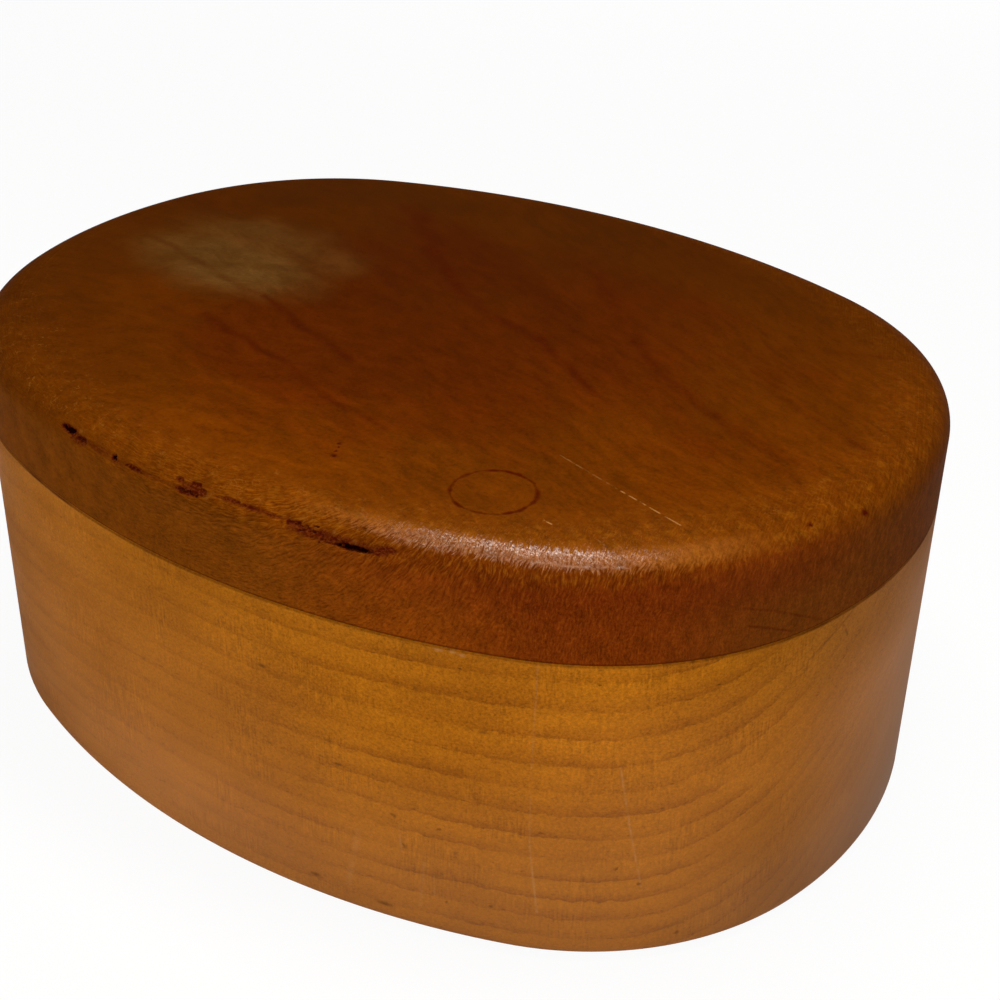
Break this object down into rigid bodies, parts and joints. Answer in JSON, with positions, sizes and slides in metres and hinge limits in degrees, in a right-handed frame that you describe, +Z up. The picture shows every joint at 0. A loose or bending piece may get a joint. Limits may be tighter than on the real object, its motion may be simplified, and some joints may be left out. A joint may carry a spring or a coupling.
{
  "type": "swivel lid trinket box",
  "caption": "Small oval wooden trinket box, hollowed from one block, with a thick rounded lid that swivels sideways on a hidden screw under a flush wooden plug.",
  "frame": {"origin": "middle of the underside, on the surface that the box stands on", "axes": "+X along the box, +Y towards its back, +Z up; the lid's pivot is at the front right"},
  "size_m": [0.13, 0.098, 0.0555],
  "materials": {
    "body_wood": "oiled satin, golden brown with fine dark growth lines",
    "lid_wood": "oiled satin, red brown, worn along the edge",
    "screw_steel": "plain"
  },
  "bodies": {
    "box": {"body": "body_wood", "pivot_screw": "screw_steel", "pivot_washer": "screw_steel"},
    "lid": {"lid": "lid_wood", "lid_plug": "lid_wood"}
  },
  "joints": [
    {"name": "lid_swivel", "type": "hinge", "parent": "box", "child": "lid", "pos_m": [0.02964, -0.03221, 0.0428], "axis": [0, 0, 1], "continuous": true}
  ]
}
